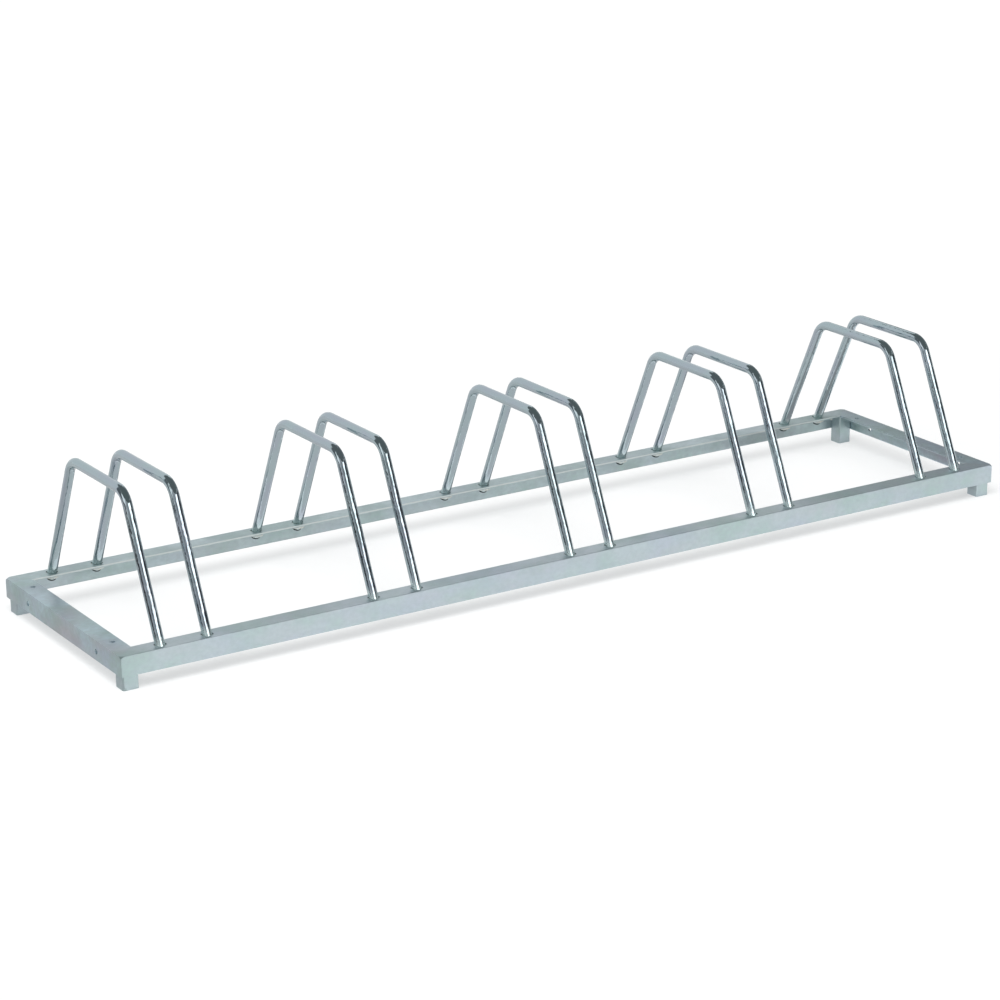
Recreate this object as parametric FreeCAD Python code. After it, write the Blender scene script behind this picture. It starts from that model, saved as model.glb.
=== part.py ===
import FreeCAD, Part
import math
import os

# Floor bike rack for five front wheels, all in zinc-plated steel, welded into one rigid piece.
# Millimetres. X runs along the rack, Y from the front (-) to the rear (+), Z up.
# The origin is on the floor, under the middle of the frame.

# --- Frame of four mitred angle rails -------------------------------------------------------------
frame_length = 1300.0
frame_width = 320.0
angle_leg = 25.0
angle_thickness = 3.0
heel_radius = 0.6                # rolled angle: a sharp heel outside, a full root inside
root_radius = 3.5
toe_radius = 1.75                # inner edge at the end of each leg
foot_drop = 18.0                 # the feet hold the rails this far off the floor
frame_top = foot_drop + angle_leg
flange_underside = frame_top - angle_thickness

# --- Mitre welds, ground flush, with each corner of the frame ground round ------------------------
mitre_weld_width = 1.6
mitre_weld_depth = 1.2
ground_edge_radius = 1.0         # up the corner
ground_corner_run = 6.0          # the rounded top corner's reach along the rails' top edges
ground_corner_drop = 3.0         # and down the corner
ground_corner_inset = 11.0       # from the outer faces to the middle of the rounding sphere

# --- Hoops of round bar, bent to a trapezium, in five pairs -------------------------------------
slot_count = 5
bar_diameter = 12.0
hoop_spacing = 60.0              # between the two bars that take one tyre
end_margin = 56.0                # from the frame's end to the first bar
hoop_rise = 163.0                # from the rail's top face to the top bar's centre line
hoop_top_width = 142.0           # between the corners where the straight centre lines would meet
hoop_base_inset = 13.2           # from the rail's outer face to the leg's centre line, at the top face
bend_radius = 26.0               # on the bar's centre line
leg_below_top = 10.0             # length of each leg below the rail's top face, along the leg
leg_end_chamfer = 0.8
leg_hole_diameter = 15.0         # upright hole, wide enough for the slanted bar
leg_hole_inset = 12.5

# --- Ring welds round each leg, under the flange --------------------------------------------------
ring_weld_inset = 12.0
ring_weld_drop = 1.3             # the bead's centre below the flange, so a groove is left on top
ring_weld_radius = 7.0
ring_weld_bead = 3.0

# --- Feet of square tube in the frame's corners ---------------------------------------------------
foot_size = 20.0
foot_wall = 2.0
foot_corner_radius = 2.0
foot_bead_radius = 3.2
foot_bead_drop = 7.0

# --- Fixing holes in the end rails ----------------------------------------------------------------
fixing_hole_diameter = 6.6
floor_hole_inset = 14.0          # from the end face, through the flange
floor_hole_spacing = 220.0
joining_hole_drop = 14.0         # below the top face, through the upright leg
joining_hole_spacing = 190.0

half_length = frame_length / 2
half_width = frame_width / 2
bar_radius = bar_diameter / 2
slot_pitch = (frame_length - 2 * end_margin - hoop_spacing) / (slot_count - 1)
leg_base = half_width - hoop_base_inset
leg_lean = math.atan2(leg_base - hoop_top_width / 2, hoop_rise)
UP = FreeCAD.Vector(0, 0, 1)
CORNERS = {
    "front_left": (-1, -1),
    "front_right": (1, -1),
    "rear_left": (-1, 1),
    "rear_right": (1, 1),
}


def point(x, y, z):
    return FreeCAD.Vector(x, y, z)


def arc(start, middle, end):
    return Part.Arc(start, middle, end).toShape()


def quarter_arc(y, z, radius, across, up):
    """A quarter arc round the centre (y, z), on the side that across and up (each -1 or 1) point to."""
    reach = radius / math.sqrt(2)
    return arc(
        point(0, y + across * radius, z),
        point(0, y + across * reach, z + up * reach),
        point(0, y, z + up * radius),
    )


def angle_profile():
    """Section of the rolled angle: outer face at y = 0, top face at z = 0, flange towards +Y."""
    root = angle_thickness + root_radius
    toe = angle_leg - toe_radius
    toe_flat = angle_thickness - toe_radius
    edges = [
        Part.makeLine(point(0, 0, -angle_leg), point(0, 0, -heel_radius)),
        quarter_arc(heel_radius, -heel_radius, heel_radius, -1, 1),
        Part.makeLine(point(0, heel_radius, 0), point(0, angle_leg, 0)),
        Part.makeLine(point(0, angle_leg, 0), point(0, angle_leg, -toe_flat)),
        quarter_arc(toe, -toe_flat, toe_radius, 1, -1),
        Part.makeLine(point(0, toe, -angle_thickness), point(0, root, -angle_thickness)),
        quarter_arc(root, -root, root_radius, -1, 1),
        Part.makeLine(point(0, angle_thickness, -root), point(0, angle_thickness, -toe)),
        quarter_arc(toe_flat, -toe, toe_radius, 1, -1),
        Part.makeLine(point(0, toe_flat, -angle_leg), point(0, 0, -angle_leg)),
    ]
    return Part.Face(Part.Wire(edges))


def angle_rail(length):
    """A rail along X, mitred at both ends, with its outer face on y = 0 and its top on z = 0."""
    profile = angle_profile()
    profile.translate(point(-length / 2, 0, 0))
    bar = profile.extrude(point(length, 0, 0))
    plan = Part.makePolygon([
        point(-length / 2, 0, -angle_leg),
        point(length / 2, 0, -angle_leg),
        point(length / 2 - angle_leg, angle_leg, -angle_leg),
        point(-length / 2 + angle_leg, angle_leg, -angle_leg),
        point(-length / 2, 0, -angle_leg),
    ])
    return bar.common(Part.Face(plan).extrude(point(0, 0, angle_leg)))


def placed_rail(length, turn, x, y):
    """turn, in degrees about Z, points the flange to the inside of the frame."""
    rail = angle_rail(length)
    rail.rotate(point(0, 0, 0), UP, turn)
    rail.translate(point(x, y, frame_top))
    return rail


def leg_hole(x, side):
    centre = point(x, side * (half_width - leg_hole_inset), flange_underside - angle_thickness)
    return Part.makeCylinder(leg_hole_diameter / 2, 3 * angle_thickness, centre, UP)


def floor_hole(side, y):
    centre = point(side * (half_length - floor_hole_inset), y, flange_underside - angle_thickness)
    return Part.makeCylinder(fixing_hole_diameter / 2, 3 * angle_thickness, centre, UP)


def joining_hole(side, y):
    centre = point(side * (half_length + angle_thickness), y, frame_top - joining_hole_drop)
    inwards = point(-side, 0, 0)
    return Part.makeCylinder(fixing_hole_diameter / 2, 3 * angle_thickness, centre, inwards)


def corner_weld(rails, side, end):
    """A flush strip along the mitre: up the frame's corner and across the two flanges."""
    inner_core = Part.makeBox(
        frame_length - 2 * mitre_weld_depth,
        frame_width - 2 * mitre_weld_depth,
        2 * angle_leg,
        point(mitre_weld_depth - half_length, mitre_weld_depth - half_width,
              frame_top - mitre_weld_depth - 2 * angle_leg),
    )
    strip = Part.makeBox(3 * angle_leg, mitre_weld_width, 2 * angle_leg,
                         point(-angle_leg, -mitre_weld_width / 2, 0))
    strip.rotate(point(0, 0, 0), UP, math.degrees(math.atan2(-end, -side)))
    strip.translate(point(side * half_length, end * half_width, frame_top - 1.5 * angle_leg))
    corner = [r.common(strip) for r in rails]
    corner = [piece for piece in corner if piece.Volume > 0]
    return corner[0].fuse(corner[1:]).removeSplitter().cut(inner_core)


def ground_off(side, end):
    """The sliver of metal that grinding takes from a corner of the frame: up its edge and at its top."""
    reach = 8.0
    upright = Part.makeCylinder(ground_edge_radius, angle_leg,
                                point(ground_edge_radius, ground_edge_radius, 0), UP)
    edge = Part.makeBox(ground_edge_radius, ground_edge_radius, angle_leg).cut(upright)
    inset, run, drop = ground_corner_inset, ground_corner_run, ground_corner_drop
    depth = (2 * run * inset - run ** 2 + drop ** 2) / (2 * drop)
    ball_radius = math.sqrt((inset - run) ** 2 + inset ** 2 + depth ** 2)
    ball = Part.makeSphere(ball_radius, point(inset, inset, angle_leg - depth))
    top_block = Part.makeBox(reach, reach, reach, point(0, 0, angle_leg - reach))
    sliver = edge.fuse(top_block.cut(ball))
    sliver.rotate(point(0, 0, 0), UP, {(-1, -1): 0, (1, -1): 90, (1, 1): 180, (-1, 1): 270}[side, end])
    sliver.translate(point(side * half_length, end * half_width, foot_drop))
    return sliver


def hoop_path():
    """The bar's centre line in the plane x = 0, from the end of the rear leg over to the front."""
    slope = point(0, -math.sin(leg_lean), math.cos(leg_lean))
    rear_corner = point(0, hoop_top_width / 2, frame_top + hoop_rise)
    rear_base = point(0, leg_base, frame_top)
    turn = math.pi / 2 - leg_lean
    setback = bend_radius * math.tan(turn / 2)
    leg_top = rear_corner - slope * setback
    bar_end = rear_corner - point(0, setback, 0)
    bend_centre = bar_end - point(0, 0, bend_radius)
    half_turn = turn / 2
    bend_middle = bend_centre + point(0, math.sin(half_turn), math.cos(half_turn)) * bend_radius
    leg_end = rear_base - slope * leg_below_top

    def front(p):
        return point(p.x, -p.y, p.z)

    return Part.Wire([
        Part.makeLine(leg_end, leg_top),
        arc(leg_top, bend_middle, bar_end),
        Part.makeLine(bar_end, front(bar_end)),
        arc(front(bar_end), front(bend_middle), front(leg_top)),
        Part.makeLine(front(leg_top), front(leg_end)),
    ])


def make_hoop():
    path = hoop_path()
    start = path.OrderedVertexes[0].Point
    slope = point(0, -math.sin(leg_lean), math.cos(leg_lean))
    section = Part.Face(Part.Wire(Part.makeCircle(bar_radius, start, slope)))
    bar = path.makePipe(section)
    lowest = bar.BoundBox.ZMin + bar_diameter
    ends = [e for e in bar.Edges if e.BoundBox.ZMax < lowest and e.Closed]
    return bar.makeChamfer(leg_end_chamfer, ends)


def ring_weld(x, side, rail, hoop):
    """The bead that closes the leg's hole from below and ties the bar to the flange."""
    centre = point(x, side * (half_width - ring_weld_inset), flange_underside - ring_weld_drop)
    bead = Part.makeTorus(ring_weld_radius, ring_weld_bead, centre, UP)
    return bead.cut([rail, hoop])


def make_foot(side, end, rails):
    """Square tube in a corner of the frame, its top trimmed to the roots of the rails."""
    outside = Part.makeBox(foot_size, foot_size, flange_underside)
    upright = [e for e in outside.Edges if e.BoundBox.ZLength > foot_size]
    outside = outside.makeFillet(foot_corner_radius, upright)
    bore = foot_size - 2 * foot_wall
    inside = Part.makeBox(bore, bore, flange_underside, point(foot_wall, foot_wall, 0))
    tube = outside.cut(inside)
    near_x = half_length - angle_thickness
    near_y = half_width - angle_thickness
    tube.translate(point(
        side * near_x - (foot_size if side > 0 else 0),
        end * near_y - (foot_size if end > 0 else 0),
        0,
    ))
    return tube.cut(rails)


def foot_bead(x, y, solids):
    """A short upright bead where a face of the foot meets the inside of a rail."""
    low = flange_underside - foot_bead_drop
    bead = Part.makeCylinder(foot_bead_radius, foot_bead_drop, point(x, y, low), UP)
    bead = bead.fuse(Part.makeSphere(foot_bead_radius, point(x, y, low)))
    return bead.removeSplitter().cut(solids)


def foot_welds(side, end, foot, rails):
    near = angle_thickness
    far = angle_thickness + foot_size
    places = [(far, near), (near, far)]
    beads = [
        foot_bead(side * (half_length - dx), end * (half_width - dy), [foot] + rails)
        for dx, dy in places
    ]
    return Part.makeCompound([max(b.Solids, key=lambda solid: solid.Volume) for b in beads])


def save(name, shape):
    solids = shape.Solids
    assert solids and all(s.isValid() for s in solids), name
    print("%-26s %d solid(s) %9.1f mm3" % (name, len(solids), shape.Volume))
    body = solids[0] if len(solids) == 1 else Part.makeCompound(solids)
    body.exportStep("parts/" + name + ".step")


def slot_centres():
    middle = (slot_count - 1) / 2
    return [slot_pitch * (i - middle) for i in range(slot_count)]


def hoop_places():
    """Each hoop's name and its place along the rack."""
    places = {}
    for number, centre in enumerate(slot_centres(), start=1):
        places["%d_left" % number] = centre - hoop_spacing / 2
        places["%d_right" % number] = centre + hoop_spacing / 2
    return places


os.makedirs("parts", exist_ok=True)

rails = {
    "front_rail": placed_rail(frame_length, 0, 0, -half_width),
    "rear_rail": placed_rail(frame_length, 180, 0, half_width),
    "left_end_rail": placed_rail(frame_width, -90, -half_length, 0),
    "right_end_rail": placed_rail(frame_width, 90, half_length, 0),
}

for corner_name, (side, end) in CORNERS.items():
    weld = corner_weld(list(rails.values()), side, end)
    sliver = ground_off(side, end)
    rails = {name: rail.cut([weld, sliver]) for name, rail in rails.items()}
    save("corner_weld_" + corner_name, weld.cut(sliver))

for side, name in ((-1, "left_end_rail"), (1, "right_end_rail")):
    for half in (-1, 1):
        rails[name] = rails[name].cut(floor_hole(side, half * floor_hole_spacing / 2))
        rails[name] = rails[name].cut(joining_hole(side, half * joining_hole_spacing / 2))

for end, name in ((-1, "front_rail"), (1, "rear_rail")):
    rails[name] = rails[name].cut([leg_hole(x, end) for x in hoop_places().values()])

for place, x in hoop_places().items():
    hoop = make_hoop()
    hoop.translate(point(x, 0, 0))
    save("hoop_" + place, hoop)
    front_bead = ring_weld(x, -1, rails["front_rail"], hoop)
    rear_bead = ring_weld(x, 1, rails["rear_rail"], hoop)
    save("hoop_weld_" + place, Part.makeCompound([front_bead, rear_bead]))

for corner_name, (side, end) in CORNERS.items():
    foot = make_foot(side, end, list(rails.values()))
    save("foot_" + corner_name, foot)
    save("foot_weld_" + corner_name, foot_welds(side, end, foot, list(rails.values())))

for name, rail in rails.items():
    save(name, rail)
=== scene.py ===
import math

import bmesh
import bpy
from mathutils import Matrix, Vector, noise


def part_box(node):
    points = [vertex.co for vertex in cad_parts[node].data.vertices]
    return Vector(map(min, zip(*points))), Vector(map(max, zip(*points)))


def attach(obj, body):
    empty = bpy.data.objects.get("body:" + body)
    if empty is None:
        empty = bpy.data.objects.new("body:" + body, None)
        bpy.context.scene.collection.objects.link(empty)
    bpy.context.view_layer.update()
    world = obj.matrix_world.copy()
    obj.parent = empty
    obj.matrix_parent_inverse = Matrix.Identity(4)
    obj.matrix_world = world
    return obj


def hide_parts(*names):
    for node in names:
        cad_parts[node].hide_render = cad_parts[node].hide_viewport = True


# Floor bike rack in zinc-plated steel. Metres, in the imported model's frame: X along the rack, Y from the
# front (-) to the rear (+), Z up, with the origin on the floor under the middle of the frame.

MM = 0.001

# --- Sizes that repeat the model's own, with the frame's boxes giving the places ------------------
FRAME_HALF_LENGTH = 650 * MM
FRAME_HALF_WIDTH = 160 * MM
BAR_RADIUS = 6 * MM
BEND_RADIUS = 26 * MM            # on the bar's centre line
HOOP_TOP_WIDTH = 142 * MM        # between the corners where the straight centre lines would meet
LEG_BASE = 146.8 * MM            # from the rack's middle to the leg's centre line, at the rails' top
LEG_BELOW_TOP = 10 * MM
LEG_END_CHAMFER = 0.8 * MM
RAIL_TOP = 43 * MM
RAIL_UNDERSIDE = 40 * MM
TOE_Y = 135 * MM                 # from the rack's middle to the toe of a long rail's flange
RING_WELD_Y = 148 * MM
RING_WELD_HEIGHT = 38.7 * MM
RING_WELD_RADIUS = 7 * MM
RING_WELD_BEAD = 3 * MM

# --- Sizes of painted shade and painted light, which are only in the colours ----------------------
LEG_END_SHADE = 2.6 * MM          # how far up from its cut end a leg is painted dark, as painted shade below the flange
FOOT_SHEEN_HEIGHT = 14 * MM              # how far up the leg the painted reflection of the lit flange reaches
TOE_HIGHLIGHT = 0.5 * MM            # how wide the painted highlight along a toe is
TOE_HIGHLIGHT_EDGE = 0.2 * MM       # over which it fades out, across the flange
TOE_HIGHLIGHT_LOW = 1.7 * MM        # its lower edge, below the rail's top
TOE_HIGHLIGHT_HIGH = 1.4 * MM       # where it is at its full strength, below the rail's top

# --- Camera, fitted to the photograph's frame of 1000 x 1000 --------------------------------------
CAMERA_PLACE = Vector((-1958.0, -3001.3, 1251.6)) * MM
CAMERA_YAW = math.radians(32.600)
CAMERA_PITCH = math.radians(18.287)
CAMERA_ROLL = math.radians(0.310)
CAMERA_LENS = 106.05
CAMERA_SENSOR = 36.0


def srgb(code):
    """A hex colour, as it looks on a screen, in the linear values that the shaders take."""
    parts = [int(code[i:i + 2], 16) / 255 for i in (1, 3, 5)]
    linear = [c / 12.92 if c <= 0.04045 else ((c + 0.055) / 1.055) ** 2.4 for c in parts]
    return (*linear, 1.0)


def add(tree, kind, inputs=None, **settings):
    """Adds one shader node, with its settings, and fills its inputs with values or other nodes' outputs."""
    made = tree.nodes.new("ShaderNode" + kind)
    for name, value in settings.items():
        setattr(made, name, value)
    for key, value in (inputs or {}).items():
        if isinstance(value, bpy.types.NodeSocket):
            tree.links.new(value, made.inputs[key])
        else:
            made.inputs[key].default_value = value
    return made


def new_material(name):
    """A node material with only its output, and that output's surface input."""
    material = bpy.data.materials.new(name)
    material.use_nodes = True
    tree = material.node_tree
    tree.nodes.clear()
    surface = add(tree, "OutputMaterial").inputs["Surface"]
    return material, tree, surface


# --- Finishes -------------------------------------------------------------------------------------
# The sizes of the patterns along X, Y and Z on the rails and welds, and round and along a bar on the hoops.
GREEN_PATCH = (45 * MM, 35 * MM, 30 * MM)
LILAC_PATCH = (70 * MM, 60 * MM, 35 * MM)
ROSE_PATCH = (110 * MM, 120 * MM, 45 * MM)
MOTTLE_PATCH = (7 * MM, 5 * MM, 5 * MM)
ROLLED_GRAIN = (2.2 * MM, 2.2 * MM, 2.2 * MM)
DRAWN_LONG_WAVE = (3.5 * MM, 45 * MM, 1.0)
DRAWN_SHORT_WAVE = (1.3 * MM, 9 * MM, 1.0)
BAR_LILAC_PATCH = (20 * MM, 60 * MM, 1.0)
END_SHADE_PATCH = (1.5 * MM, 1.5 * MM, 1.5 * MM)
WELD_PIT = (0.9 * MM, 0.9 * MM, 0.9 * MM)
WELD_CREAM_PATCH = (4 * MM, 4 * MM, 4 * MM)
LILAC_OFFSET = (3.1, 1.7, 0.4)   # these move a pattern to another part of the noise, away from the green's
ROSE_OFFSET = (0.37, 2.2, 5.1)


def stretched(tree, source, size):
    """Coordinates in which one unit is size, in metres, along each axis."""
    scale = tuple(1 / s for s in size)
    return add(tree, "Mapping", {"Vector": source, "Scale": scale}).outputs["Vector"]


def moved(tree, source, offset):
    """The same coordinates, moved, so that two patterns don't follow each other."""
    return add(tree, "Mapping", {"Vector": source, "Location": offset}).outputs["Vector"]


def tinted(tree, colour, tint, amount):
    """Lays a tint over a colour, by the amount socket."""
    mix = add(tree, "Mix", {"Factor": amount, "A": colour, "B": tint}, data_type="RGBA")
    return mix.outputs["Result"]


def patches(tree, source, size, low, high, detail=3.0, share=1.0):
    """Soft cloudy patches, from 0 to the share, whose size is given in metres along each axis."""
    cloud = add(tree, "TexNoise", {
        "Vector": stretched(tree, source, size), "Scale": 1.0, "Detail": detail, "Roughness": 0.55,
    })
    return add(tree, "MapRange", {
        "Value": cloud.outputs["Fac"], "From Min": low, "From Max": high, "To Max": share,
    }).outputs["Result"]


def zinc_on_rolled_steel(name, grey, lilac_share, rose_share, painted_toe_highlight=False):
    """Bright zinc plate on rolled steel: a satin metal, partly matt, whose thin clear passivation breaks the
    grey into cloudy green, lilac and, where it is thickest, rose (the shares, from 0 to 1). On the long rails
    the rounded toe of the flange gets a painted highlight: a pale strip where its rounding catches the light."""
    material, tree, surface = new_material(name)
    place = add(tree, "TexCoord").outputs["Object"]
    green = patches(tree, place, GREEN_PATCH, 0.40, 0.66)
    lilac = patches(tree, moved(tree, place, LILAC_OFFSET), LILAC_PATCH, 0.45, 0.68, share=lilac_share)
    rose = patches(tree, moved(tree, place, ROSE_OFFSET), ROSE_PATCH, 0.48, 0.66, 2.0, rose_share)
    mottle = patches(tree, place, MOTTLE_PATCH, 0.36, 0.66, share=0.45)
    grain = add(tree, "TexNoise", {
        "Vector": stretched(tree, place, ROLLED_GRAIN), "Scale": 1.0, "Detail": 2.0,
    }).outputs["Fac"]
    colour = tinted(tree, srgb(grey), srgb("#b1c6c4"), green)
    colour = tinted(tree, colour, srgb("#b7bdd1"), lilac)
    colour = tinted(tree, colour, srgb("#bfaeb6"), rose)
    colour = tinted(tree, colour, srgb("#aab7bc"), mottle)
    # painted highlight: a pale strip along the rounded toe, where it catches the light
    if painted_toe_highlight:
        colour = tinted(tree, colour, srgb("#d9e1e0"), toe_highlight_strip(tree, place))
    roughness = add(tree, "MapRange", {"Value": green, "To Min": 0.34, "To Max": 0.42}).outputs["Result"]
    bump = add(tree, "Bump", {"Height": grain, "Strength": 0.12, "Distance": 0.4 * MM}).outputs["Normal"]
    metal = add(tree, "BsdfPrincipled", {
        "Base Color": colour, "Metallic": 0.85, "Roughness": roughness, "Normal": bump,
    })
    tree.links.new(metal.outputs["BSDF"], surface)
    return material


def toe_highlight_strip(tree, place):
    """The painted highlight on a long rail's toe: 1 on the upper part of the toe and 0 elsewhere."""
    parts = add(tree, "SeparateXYZ", {0: place}).outputs
    out = add(tree, "Math", {0: parts["Y"]}, operation="ABSOLUTE").outputs[0]
    edge = TOE_Y + TOE_HIGHLIGHT
    near = add(tree, "MapRange", {
        "Value": out, "From Min": edge + TOE_HIGHLIGHT_EDGE, "From Max": edge,
    }).outputs["Result"]
    upper = add(tree, "MapRange", {
        "Value": parts["Z"], "From Min": RAIL_TOP - TOE_HIGHLIGHT_LOW, "From Max": RAIL_TOP - TOE_HIGHLIGHT_HIGH,
    }).outputs["Result"]
    return add(tree, "Math", {0: near, 1: upper}, operation="MULTIPLY").outputs[0]


def zinc_on_drawn_bar(name):
    """Bright zinc plate on cold-drawn round bar: close to a mirror along the bar, but with the drawing's
    faint lengthwise waves, which break each reflected streak into short wandering pieces. From just above the
    rails down it is painted paler and made duller: a painted reflection of the lit flange round the leg's
    foot."""
    material, tree, surface = new_material(name)
    along = add(tree, "TexCoord").outputs["UV"]
    long_waves = add(tree, "TexNoise", {
        "Vector": stretched(tree, along, DRAWN_LONG_WAVE), "Scale": 1.0, "Detail": 1.0,
    }).outputs["Fac"]
    short_waves = add(tree, "TexNoise", {
        "Vector": stretched(tree, along, DRAWN_SHORT_WAVE), "Scale": 1.0, "Detail": 1.0,
    }).outputs["Fac"]
    lilac = patches(tree, along, BAR_LILAC_PATCH, 0.42, 0.66)
    colour = tinted(tree, srgb("#b4c4c9"), srgb("#b5bec9"), lilac)
    bump = add(tree, "Bump", {"Height": long_waves, "Strength": 0.65, "Distance": 0.6 * MM}).outputs["Normal"]
    bump = add(tree, "Bump", {
        "Height": short_waves, "Strength": 0.8, "Distance": 0.2 * MM, "Normal": bump,
    }).outputs["Normal"]
    # painted light: paler and duller from 14 mm above the rails down, a painted reflection of the lit flange
    # round the leg's foot
    height = add(tree, "SeparateXYZ", {0: add(tree, "TexCoord").outputs["Object"]}).outputs["Z"]
    foot = add(tree, "MapRange", {
        "Value": height, "From Min": RAIL_TOP + FOOT_SHEEN_HEIGHT, "From Max": RAIL_TOP,
    }, interpolation_type="SMOOTHSTEP").outputs["Result"]
    colour = tinted(tree, colour, srgb("#d5e6e6"), foot)
    roughness = add(tree, "MapRange", {"Value": foot, "To Min": 0.09, "To Max": 0.20}).outputs["Result"]
    metallic = add(tree, "MapRange", {"Value": foot, "To Min": 1.0, "To Max": 0.75}).outputs["Result"]
    metal = add(tree, "BsdfPrincipled", {
        "Base Color": colour, "Metallic": metallic, "Roughness": roughness, "Normal": bump,
    })
    tree.links.new(metal.outputs["BSDF"], surface)
    return material


def bar_end_painted_shade(name):
    """The bar's cut end, its rim and the leg's last few millimetres below the flange: painted shade, dark and
    dull, where shadow falls round the leg's end.
    """
    material, tree, surface = new_material(name)
    place = add(tree, "TexCoord").outputs["Object"]
    # painted shade: patchy dark greys for the shadow round the leg's end
    end_shade = patches(tree, place, END_SHADE_PATCH, 0.35, 0.65)
    colour = tinted(tree, srgb("#1c2123"), srgb("#343b3d"), end_shade)
    metal = add(tree, "BsdfPrincipled", {"Base Color": colour, "Metallic": 0.9, "Roughness": 0.6})
    tree.links.new(metal.outputs["BSDF"], surface)
    return material


def zinc_on_weld(name):
    """Zinc plate over weld metal: duller and creamier than on the rolled steel, with fine pits."""
    material, tree, surface = new_material(name)
    place = add(tree, "TexCoord").outputs["Object"]
    pits = add(tree, "TexNoise", {
        "Vector": stretched(tree, place, WELD_PIT), "Scale": 1.0, "Detail": 3.0,
    }).outputs["Fac"]
    cream = patches(tree, place, WELD_CREAM_PATCH, 0.38, 0.62)
    colour = tinted(tree, srgb("#ccd4d4"), srgb("#d6d7cf"), cream)
    bump = add(tree, "Bump", {"Height": pits, "Strength": 0.4, "Distance": 0.4 * MM}).outputs["Normal"]
    metal = add(tree, "BsdfPrincipled", {
        "Base Color": colour, "Metallic": 0.5, "Roughness": 0.5, "Normal": bump,
    })
    tree.links.new(metal.outputs["BSDF"], surface)
    return material


# --- Hoops ----------------------------------------------------------------------------------------
BAR_SIDES = 48
ARC_STEPS = 28
STRAIGHT_STEP = 12 * MM


def hoop_line(hoop_rise):
    """Points down the bar's centre line, in the YZ plane, from the rear leg's end over to the front one's.
    Each is (place, direction)."""
    lean = math.atan2(LEG_BASE - HOOP_TOP_WIDTH / 2, hoop_rise)
    turn = math.pi / 2 - lean
    setback = BEND_RADIUS * math.tan(turn / 2)
    slope = Vector((0, -math.sin(lean), math.cos(lean)))
    leg_end = Vector((0, LEG_BASE, RAIL_TOP)) - slope * LEG_BELOW_TOP
    corner = Vector((0, HOOP_TOP_WIDTH / 2, RAIL_TOP + hoop_rise))
    leg_top = corner - slope * setback
    centre = corner + Vector((0, -setback, -BEND_RADIUS))

    points = straight(leg_end, leg_top)
    for step in range(ARC_STEPS):
        angle = turn * (1 - step / ARC_STEPS)
        outwards = Vector((0, math.sin(angle), math.cos(angle)))
        points.append((centre + outwards * BEND_RADIUS, Vector((0, -math.cos(angle), math.sin(angle)))))
    half = points + straight(centre + Vector((0, 0, BEND_RADIUS)), Vector((0, 0, corner.z)))
    mirrored = [(Vector((0, -p.y, p.z)), Vector((0, d.y, -d.z))) for p, d in reversed(half)]
    return half + [(Vector((0, 0, corner.z)), Vector((0, -1, 0)))] + mirrored


def straight(start, end):
    """Evenly spaced points from start up to, but not including, end."""
    run = end - start
    steps = max(1, round(run.length / STRAIGHT_STEP))
    return [(start + run * (i / steps), run.normalized()) for i in range(steps)]


def tube_mesh(name, line, x):
    """A round bar along the line, with a chamfered, capped end. UV is metres round and along the bar."""
    rings = [(p, d, BAR_RADIUS) for p, d in line]
    first_place, first_way = line[0]
    last_place, last_way = line[-1]
    rings[0] = (first_place + first_way * LEG_END_SHADE, first_way, BAR_RADIUS)
    rings[-1] = (last_place - last_way * LEG_END_SHADE, last_way, BAR_RADIUS)
    for inset, radius in ((LEG_END_CHAMFER, BAR_RADIUS), (0.0, BAR_RADIUS - LEG_END_CHAMFER)):
        rings.insert(0, (first_place + first_way * inset, first_way, radius))
        rings.append((last_place - last_way * inset, last_way, radius))

    mesh = bmesh.new()
    uv = mesh.loops.layers.uv.new("UVMap")
    across = Vector((1, 0, 0))
    loops = []
    distance = 0.0
    lengths = []
    for index, (place, way, radius) in enumerate(rings):
        if index:
            distance += (place - rings[index - 1][0]).length
        lengths.append(distance)
        outwards = across.cross(way)
        middle = place + Vector((x, 0, 0))
        loops.append([
            mesh.verts.new(middle + (across * math.cos(a) + outwards * math.sin(a)) * radius)
            for a in (2 * math.pi * side / BAR_SIDES for side in range(BAR_SIDES))
        ])
    for index in range(len(rings) - 1):
        # the chamfers, the caps and the last rings at each end take the second material, which is painted
        # shade
        chamfer = index in (0, len(rings) - 2)
        end_shade = chamfer or index in (1, len(rings) - 3)
        for side in range(BAR_SIDES):
            after = (side + 1) % BAR_SIDES
            face = mesh.faces.new((loops[index][side], loops[index][after],
                                   loops[index + 1][after], loops[index + 1][side]))
            face.smooth = not chamfer
            face.material_index = 1 if end_shade else 0
            round_places = [side, side + 1, side + 1, side]
            long_places = [lengths[index]] * 2 + [lengths[index + 1]] * 2
            for loop, u, v in zip(face.loops, round_places, long_places):
                loop[uv].uv = (u * 2 * math.pi * BAR_RADIUS / BAR_SIDES, v + x)
    for cap in (list(reversed(loops[0])), loops[-1]):
        mesh.faces.new(cap).material_index = 1
    mesh.normal_update()
    return finished_object(name, mesh)


def finished_object(name, mesh):
    """Turns a built mesh into an object in the scene."""
    data = bpy.data.meshes.new(name)
    mesh.to_mesh(data)
    mesh.free()
    made = bpy.data.objects.new(name, data)
    bpy.context.scene.collection.objects.link(made)
    return made


def make_hoop(node, finishes):
    """A bent bar in place of a hoop's node, with the finishes of its surface and of its cut ends."""
    low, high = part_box(node)
    hoop_rise = high.z - BAR_RADIUS - RAIL_TOP
    bar = tube_mesh(node + "_bar", hoop_line(hoop_rise), (low.x + high.x) / 2)
    for finish in finishes:
        bar.data.materials.append(finish)
    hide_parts(node)
    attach(bar, "root")


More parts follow.
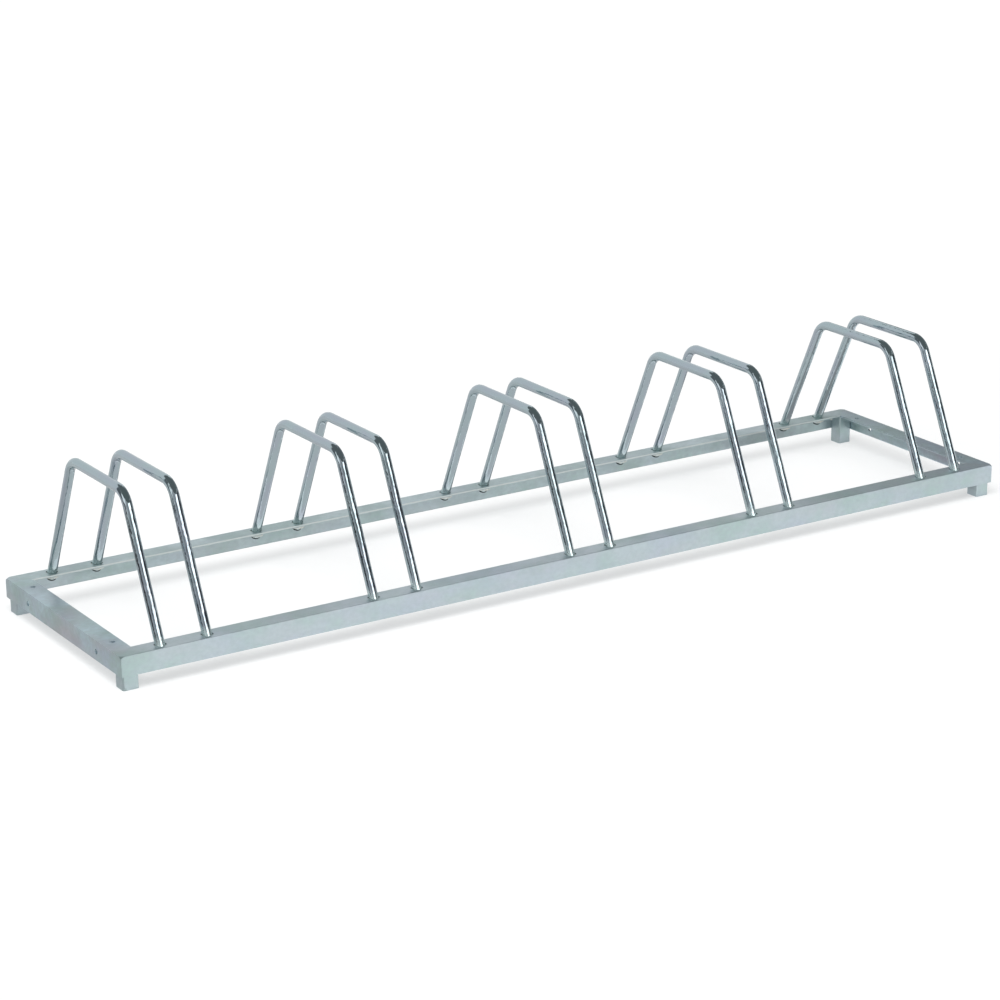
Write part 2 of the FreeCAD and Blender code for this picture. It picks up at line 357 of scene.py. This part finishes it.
# --- Welds ----------------------------------------------------------------------------------------
RING_STEPS = 96
RING_SIDES = 14
RING_RIPPLES = 19                # the frozen pools of the bead, about 2.3 mm apart round the leg
RIPPLE_DEPTH = 0.22 * MM
RING_SPREAD = 10                 # how fast the bead's wander changes from leg to leg, per metre
FOOT_BEAD_RADIUS = 2.8 * MM
FOOT_BEAD_REACH = 7 * MM         # how far the bead runs down from the flange
FOOT_WELD_FAR = 23 * MM          # from the frame's outer face to the foot's far corner
FOOT_WELD_NEAR = 3.4 * MM        # from the frame's other outer face to the bead's middle
FOOT_LUMP_DEPTH = 0.16           # of the bead's radius
FOOT_LUMPS = 1.7                 # lumps to a radius, about
FOOT_LUMP_SPREAD = 40            # how fast the lumps change from bead to bead, per metre


def ripple_bead(mesh, x, side, seed):
    """A ring of weld round a leg, under the flange, with the ripples of its frozen pools."""
    rings = []
    for step in range(RING_STEPS):
        turn = 2 * math.pi * step / RING_STEPS
        wander = noise.noise(Vector((math.cos(turn), math.sin(turn), seed))) * RIPPLE_DEPTH
        ripple = abs(math.sin(turn * RING_RIPPLES / 2)) * RIPPLE_DEPTH
        bead = RING_WELD_BEAD - 2 * RIPPLE_DEPTH + ripple + wander
        middle = Vector((x, side * RING_WELD_Y, RING_WELD_HEIGHT))
        outwards = Vector((math.cos(turn), math.sin(turn), 0))
        ring = []
        for k in range(RING_SIDES):
            angle = 2 * math.pi * k / RING_SIDES
            reach = outwards * (RING_WELD_RADIUS + bead * math.cos(angle))
            ring.append(mesh.verts.new(middle + reach + Vector((0, 0, bead * math.sin(angle)))))
        rings.append(ring)
    for step, ring in enumerate(rings):
        after = rings[(step + 1) % RING_STEPS]
        for k in range(RING_SIDES):
            k2 = (k + 1) % RING_SIDES
            mesh.faces.new((ring[k], after[k], after[k2], ring[k2])).smooth = True


def make_ring_welds(node, finish):
    """The two ring beads of a hoop, one round each leg."""
    low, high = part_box(node)
    x = (low.x + high.x) / 2
    mesh = bmesh.new()
    for side in (-1, 1):
        ripple_bead(mesh, x, side, x * RING_SPREAD + side)
    add_piece(finished_object(node + "_beads", mesh), node, finish)


def make_foot_welds(node, finish):
    """Two short lumpy beads where a foot meets the inside of the rails."""
    low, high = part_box(node)
    side = 1 if low.x > 0 else -1
    end = 1 if low.y > 0 else -1
    mesh = bmesh.new()
    for inset_x, inset_y in ((FOOT_WELD_FAR, FOOT_WELD_NEAR), (FOOT_WELD_NEAR, FOOT_WELD_FAR)):
        made = bmesh.ops.create_icosphere(mesh, subdivisions=4, radius=1.0)["verts"]
        place_x = side * (FRAME_HALF_LENGTH - inset_x)
        place_y = end * (FRAME_HALF_WIDTH - inset_y)
        place = Vector((place_x, place_y, RAIL_UNDERSIDE))
        for vert in made:
            lump = noise.noise(vert.co * FOOT_LUMPS + place * FOOT_LUMP_SPREAD)
            radius = FOOT_BEAD_RADIUS * (1 + FOOT_LUMP_DEPTH * lump)
            drop = (1 - vert.co.z) / 2 * (FOOT_BEAD_REACH + FOOT_BEAD_RADIUS)
            vert.co = place + Vector((vert.co.x * radius, vert.co.y * radius, -drop))
    for face in mesh.faces:
        face.smooth = True
    add_piece(finished_object(node + "_beads", mesh), node, finish)


def add_piece(piece, node, finish):
    """Stands a finished piece in for its node."""
    piece.data.materials.append(finish)
    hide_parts(node)
    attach(piece, "root")


# --- Studio ---------------------------------------------------------------------------------------
WHITE = srgb("#ffffff")
FLOOR_SIZE = 30.0
FLOOR_SHADOW_SHARE = 0.5         # how much of the floor's look is its own shading; the rest is plain white
SHADED_FLOOR_RADIUS = 0.8        # the shading fades out between these distances from the rack's middle
PLAIN_FLOOR_RADIUS = 1.4
LAMP_PLACE = (-2.4, -2.1, 6.0)
LAMP_SIZE = (5.6, 5.0)
LAMP_POWER = 400.0               # watts
CARD_DISTANCE = 6.0
FLOOR_CARD_HEIGHT = 0.3 * MM
CARD_STEP = 6.0                  # degrees between the rows of a curved card's mesh

# Paper cards and softboxes that only reflections see: the streaks on the bars are their images. Angles in
# degrees from the rack's middle, azimuth 0 in front of it and 90 at its right. Brightness 1 is white paper.
CARDS = (
    # name, azimuths, elevations, brightness, colour, soft edge in degrees
    ("grey_ceiling", (-180, 180), (44, 90), 0.17, "#f2ffff", 0),
    ("front_ceiling", (-95, 120), (36, 46), 0.15, "#f2ffff", 0),
    ("pale_backdrop", (139, 229), (-3, 45), 0.80, "#fbfeff", 3),
    ("left_rear_flag", (-134, -104), (-14, 45), 0.17, "#f0faff", 3),
    ("left_softbox", (-104, -72), (12, 36), 1.25, "#ffffff", 3),
    ("left_flag", (-104, -72), (-2, 12), 0.03, "#e6f0ff", 2),
    ("left_front_panel", (-72, -13), (-8, 35), 0.48, "#f8fbff", 2),
    ("left_front_flag", (-48, -30), (8, 34), 0.16, "#f4f8ff", 3),
    ("front_softbox", (-13, 25), (12, 36), 2.6, "#ffffff", 2),
    ("right_front_flag", (25, 80), (-4, 36), 0.08, "#f0f6ff", 3),
    ("right_flag", (80, 139), (-2, 45), 0.25, "#f4fbff", 4),
)
# Grey cards laid on the floor, seen only in the steel: left, right, front and rear edge, and brightness.
FLOOR_CARDS = (
    ("inner_floor_card", (-618 * MM, 480 * MM, -128 * MM, 105 * MM), 0.72),
    ("right_floor_card", (480 * MM, 618 * MM, -128 * MM, 128 * MM), 0.40),
    ("front_floor_card", (-640 * MM, 3.0, -2.0, -163 * MM), 1.10),
    ("left_floor_card", (-1.0, -642 * MM, -1.5, 0.35), 0.60),
    ("far_left_floor_card", (-5.0, -1.01, -2.5, 0.60), 0.10),
    ("rear_strip_card", (-640 * MM, 650 * MM, 129 * MM, 0.35), 0.64),
    ("rear_floor_card", (-1.0, 3.0, 0.352, 3.5), 0.72),
    ("far_rear_floor_card", (-5.0, -1.01, 0.61, 3.5), 0.72),
)


def seen_directly(tree):
    """1 for rays from the camera, and for those that a surface reflects or lets through as an image."""
    ray = add(tree, "LightPath").outputs
    camera, glossy = ray["Is Camera Ray"], ray["Is Glossy Ray"]
    either = add(tree, "Math", {0: camera, 1: glossy}, operation="MAXIMUM").outputs[0]
    return add(tree, "Math", {0: either, 1: ray["Is Transmission Ray"]}, operation="MAXIMUM").outputs[0]


def make_floor():
    """A white floor that keeps the rack's shadow near it and is plain white further out."""
    material, tree, surface = new_material("white_studio_floor")
    matt = add(tree, "BsdfDiffuse", {"Color": srgb("#fbfbfb")}).outputs["BSDF"]
    white = add(tree, "Emission", {"Color": WHITE, "Strength": 1.04}).outputs["Emission"]
    place = add(tree, "TexCoord").outputs["Object"]
    away = add(tree, "VectorMath", {0: place}, operation="LENGTH").outputs["Value"]
    plain = add(tree, "MapRange", {
        "Value": away, "From Min": SHADED_FLOOR_RADIUS, "From Max": PLAIN_FLOOR_RADIUS,
        "To Min": 1 - FLOOR_SHADOW_SHARE, "To Max": 1.0,
    }, interpolation_type="SMOOTHSTEP").outputs["Result"]
    share = add(tree, "Math", {0: seen_directly(tree), 1: plain}, operation="MULTIPLY").outputs[0]
    mix = add(tree, "MixShader", {0: share, 1: matt, 2: white}).outputs[0]
    tree.links.new(mix, surface)
    mesh = bmesh.new()
    bmesh.ops.create_grid(mesh, x_segments=1, y_segments=1, size=FLOOR_SIZE / 2)
    floor = finished_object("studio_floor", mesh)
    floor.data.materials.append(material)


def make_world():
    """A soft grey tent of light, which the camera and reflections see as plain white."""
    world = bpy.data.worlds.new("studio")
    bpy.context.scene.world = world
    world.use_nodes = True
    tree = world.node_tree
    tree.nodes.clear()
    tent = add(tree, "Background", {"Color": srgb("#dfe3e4"), "Strength": 0.62}).outputs["Background"]
    white = add(tree, "Background", {"Color": WHITE, "Strength": 1.0}).outputs["Background"]
    mix = add(tree, "MixShader", {0: seen_directly(tree), 1: tent, 2: white}).outputs[0]
    tree.links.new(mix, add(tree, "OutputWorld").inputs["Surface"])


def edge_fade(tree, along, span, soft):
    """1 inside a card and 0 at its two edges, over soft degrees of its span."""
    nearest = add(tree, "Math", {0: along, 1: 0.5}, operation="SUBTRACT").outputs[0]
    nearest = add(tree, "Math", {0: nearest}, operation="ABSOLUTE").outputs[0]
    return add(tree, "MapRange", {
        "Value": nearest, "From Min": 0.5, "From Max": 0.5 - soft / span,
    }, interpolation_type="SMOOTHSTEP").outputs["Result"]


def make_card(name, azimuths, elevations, brightness, colour, soft):
    """A curved card round the rack that only reflections see."""
    material, tree, surface = new_material(name)
    glow = add(tree, "Emission", {"Color": srgb(colour), "Strength": brightness}).outputs["Emission"]
    if soft:
        across = add(tree, "SeparateXYZ", {0: add(tree, "TexCoord").outputs["UV"]}).outputs
        wide = edge_fade(tree, across["X"], azimuths[1] - azimuths[0], soft)
        tall = edge_fade(tree, across["Y"], elevations[1] - elevations[0], soft)
        inside = add(tree, "Math", {0: wide, 1: tall}, operation="MULTIPLY").outputs[0]
        clear = add(tree, "BsdfTransparent").outputs["BSDF"]
        glow = add(tree, "MixShader", {0: inside, 1: clear, 2: glow}).outputs[0]
    tree.links.new(glow, surface)
    columns = max(1, round((azimuths[1] - azimuths[0]) / CARD_STEP))
    rows = max(1, round((elevations[1] - elevations[0]) / CARD_STEP))
    mesh = bmesh.new()
    uv = mesh.loops.layers.uv.new("UVMap")
    places = []
    for row in range(rows + 1):
        rise = math.radians(elevations[0] + (elevations[1] - elevations[0]) * row / rows)
        for column in range(columns + 1):
            turn = math.radians(azimuths[0] + (azimuths[1] - azimuths[0]) * column / columns)
            level = Vector((math.sin(turn), -math.cos(turn), 0)) * math.cos(rise)
            away = level + Vector((0, 0, math.sin(rise)))
            places.append((mesh.verts.new(away * CARD_DISTANCE), (column / columns, row / rows)))
    for row in range(rows):
        for column in range(columns):
            first = row * (columns + 1) + column
            above = first + columns + 1
            ring = [places[first], places[first + 1], places[above + 1], places[above]]
            face = mesh.faces.new([vert for vert, _ in ring])
            for loop, (_, place) in zip(face.loops, ring):
                loop[uv].uv = place
    stage_card(finished_object(name, mesh), material)


def make_floor_card(name, edges, brightness):
    """A flat card just above the floor that only reflections see."""
    material, tree, surface = new_material(name)
    glow = add(tree, "Emission", {"Color": WHITE, "Strength": brightness}).outputs["Emission"]
    tree.links.new(glow, surface)
    left, right, front, rear = edges
    mesh = bmesh.new()
    corners = [(left, front), (right, front), (right, rear), (left, rear)]
    mesh.faces.new([mesh.verts.new((x, y, FLOOR_CARD_HEIGHT)) for x, y in corners])
    stage_card(finished_object(name, mesh), material)


def stage_card(card, material):
    card.data.materials.append(material)
    card.visible_camera = False
    card.visible_diffuse = False
    card.visible_shadow = False


def make_lamp(name, place, size, power):
    """A rectangular softbox aimed at the rack's middle, which reflections don't see."""
    data = bpy.data.lights.new(name, "AREA")
    data.shape = "RECTANGLE"
    data.size, data.size_y = size
    data.energy = power
    lamp = bpy.data.objects.new(name, data)
    bpy.context.scene.collection.objects.link(lamp)
    lamp.location = place
    lamp.rotation_mode = "QUATERNION"
    lamp.rotation_quaternion = Vector(place).to_track_quat("Z", "Y")
    lamp.visible_glossy = False


def make_camera():
    """The camera, placed and aimed as the photograph was taken."""
    data = bpy.data.cameras.new("camera")
    data.lens = CAMERA_LENS
    data.sensor_width = CAMERA_SENSOR
    camera = bpy.data.objects.new("camera", data)
    bpy.context.scene.collection.objects.link(camera)
    yaw, pitch = CAMERA_YAW, CAMERA_PITCH
    forward = Vector((math.sin(yaw) * math.cos(pitch), math.cos(yaw) * math.cos(pitch), -math.sin(pitch)))
    level_right = Vector((math.cos(yaw), -math.sin(yaw), 0))
    level_down = forward.cross(level_right)
    right = level_right * math.cos(CAMERA_ROLL) + level_down * math.sin(CAMERA_ROLL)
    up = forward.cross(right) * -1
    axes = Matrix((right, up, -forward)).transposed()
    camera.matrix_world = Matrix.Translation(CAMERA_PLACE) @ axes.to_4x4()
    bpy.context.scene.camera = camera


# --- Build ----------------------------------------------------------------------------------------
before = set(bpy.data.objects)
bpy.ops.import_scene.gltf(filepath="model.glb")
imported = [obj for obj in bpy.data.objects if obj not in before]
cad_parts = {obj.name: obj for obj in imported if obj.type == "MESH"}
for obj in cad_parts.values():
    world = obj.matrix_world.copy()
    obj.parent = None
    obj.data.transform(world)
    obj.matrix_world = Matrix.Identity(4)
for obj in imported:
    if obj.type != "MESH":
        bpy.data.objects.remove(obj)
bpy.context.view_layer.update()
bpy.context.scene.view_settings.view_transform = "Standard"

make_camera()
make_world()
make_floor()
make_lamp("overhead_softbox", LAMP_PLACE, LAMP_SIZE, LAMP_POWER)
for card in CARDS:
    make_card(*card)
for card in FLOOR_CARDS:
    make_floor_card(*card)

# the bars' second finish is painted shade for the legs' ends below the flanges
bar_finishes = (zinc_on_drawn_bar("bright_zinc_on_drawn_bar"), bar_end_painted_shade("bar_end_painted_shade"))
front_rail_finish = zinc_on_rolled_steel("satin_zinc_on_front_angle", "#bac7cc", 0.4, 0.12, painted_toe_highlight=True)
# painted light: the same zinc as the front angle, its grey painted paler where the rear rail reads brighter
# in its light
rear_rail_finish = zinc_on_rolled_steel("satin_zinc_on_rear_angle", "#c2d2d5", 0.25, 0.12, painted_toe_highlight=True)
end_rail_finish = zinc_on_rolled_steel("satin_zinc_on_end_angle", "#bfd3da", 0.65, 0.5)
foot_finish = zinc_on_rolled_steel("satin_zinc_on_square_tube", "#bac7cc", 0.3, 0.0)
weld_finish = zinc_on_weld("zinc_on_weld_metal")

for name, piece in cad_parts.items():
    if name.startswith("hoop_weld"):
        make_ring_welds(name, weld_finish)
    elif name.startswith("foot_weld"):
        make_foot_welds(name, weld_finish)
    elif name.startswith("hoop"):
        make_hoop(name, bar_finishes)
    else:
        if name.startswith("foot"):
            finish = foot_finish
        elif "end_rail" in name:
            finish = end_rail_finish
        elif "rear" in name:
            finish = rear_rail_finish
        else:
            finish = front_rail_finish
        piece.data.materials.clear()
        piece.data.materials.append(finish)
